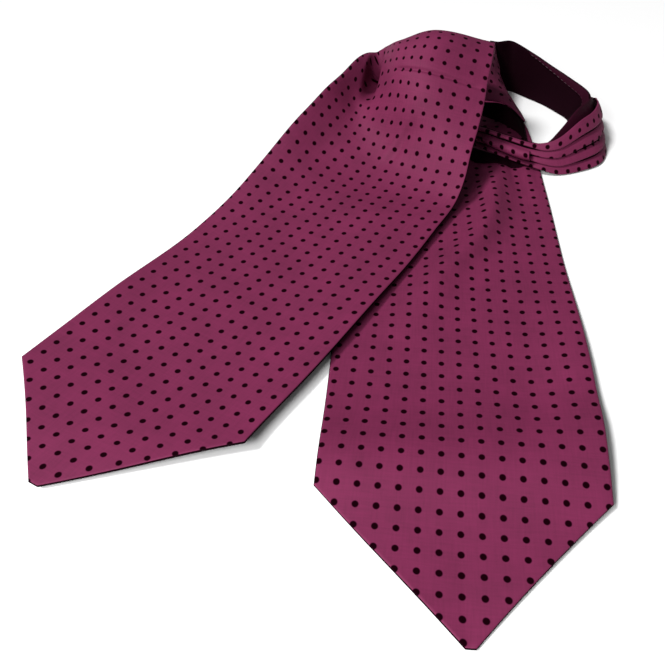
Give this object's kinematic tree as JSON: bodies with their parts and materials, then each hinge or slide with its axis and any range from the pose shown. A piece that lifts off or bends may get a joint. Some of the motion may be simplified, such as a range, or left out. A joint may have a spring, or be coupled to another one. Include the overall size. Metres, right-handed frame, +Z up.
{
  "type": "silk cravat",
  "caption": "Silk day cravat laid flat: wide pointed blades crossing, the upper one arched, joined by a narrow pleated neckband that turns back behind.",
  "frame": {"origin": "middle of the laid cravat's bounding box, on the table", "axes": "+Z up from the table, +Y from the lower blade's point towards the neckband, +X to the side the neck loop lies on"},
  "size_m": [0.4166, 0.5336, 0.093],
  "materials": {
    "silk": "satin silk twill, plum with near-black pin dots",
    "silk_inside": "dark maroon wrong side of the silk"
  },
  "bodies": {
    "root": {"blade_left": "silk", "blade_right": "silk", "neckband_front": "silk", "neckband_roll": "silk", "neckband_gather": "silk", "neckband_turn": "silk", "neckband_back": "silk_inside"}
  },
  "joints": []
}
